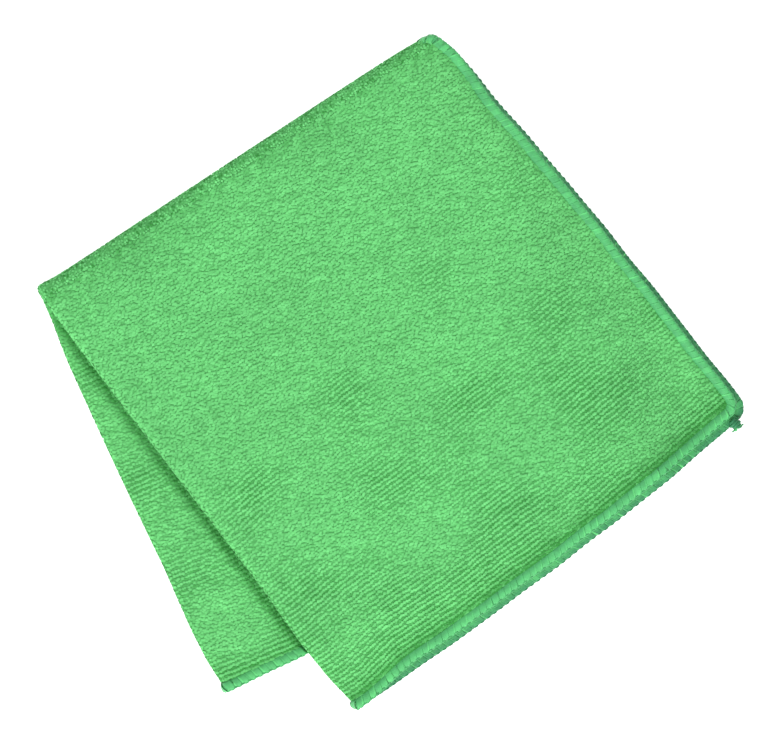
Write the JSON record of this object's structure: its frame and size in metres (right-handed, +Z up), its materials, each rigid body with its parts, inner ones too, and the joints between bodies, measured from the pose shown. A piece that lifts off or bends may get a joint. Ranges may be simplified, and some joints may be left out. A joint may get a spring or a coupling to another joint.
{
  "type": "folded cleaning cloth",
  "caption": "Square knitted microfibre cleaning cloth with overlocked edges, folded in quarter and lying flat; the upper half turns open about its fold.",
  "frame": {"origin": "centre of the bounding box in plan, on the surface that the cloth lies on", "axes": "+Z up through the stack of leaves, +Y along the quarter fold from the closed corner to the side hem, +X along the half fold towards the end hem"},
  "size_m": [0.218, 0.2458, 0.0105],
  "materials": {
    "microfibre_pile": "short looped pile in fine rows, bright green, matt with a soft sheen",
    "edging_thread": "smooth overlock thread, slightly bluer green than the pile, satin"
  },
  "bodies": {
    "lower_half": {"leaf_bottom": "microfibre_pile", "leaf_lower_inner": "microfibre_pile", "end_hem_bottom": "edging_thread", "end_hem_lower_inner": "edging_thread", "side_hem_bottom": "edging_thread", "side_hem_lower_inner": "edging_thread", "half_fold_lower": "microfibre_pile", "half_fold_hem_lower": "edging_thread", "quarter_fold_inner": "microfibre_pile", "quarter_fold_outer": "microfibre_pile", "quarter_fold_hem_inner": "edging_thread", "quarter_fold_hem_outer": "edging_thread", "closed_corner": "microfibre_pile"},
    "upper_half": {"leaf_upper_inner": "microfibre_pile", "leaf_top": "microfibre_pile", "end_hem_upper_inner": "edging_thread", "end_hem_top": "edging_thread", "side_hem_upper_inner": "edging_thread", "side_hem_top": "edging_thread", "half_fold_upper": "microfibre_pile", "half_fold_hem_upper": "edging_thread", "thread_tail": "edging_thread"}
  },
  "joints": [
    {"name": "quarter_fold", "type": "hinge", "parent": "lower_half", "child": "upper_half", "pos_m": [-0.10373, 0, 0.00525], "axis": [0, -1, 0], "range_deg": [0, 179.5], "deforming": ["quarter_fold_inner", "quarter_fold_outer", "quarter_fold_hem_inner", "quarter_fold_hem_outer", "closed_corner"]}
  ]
}
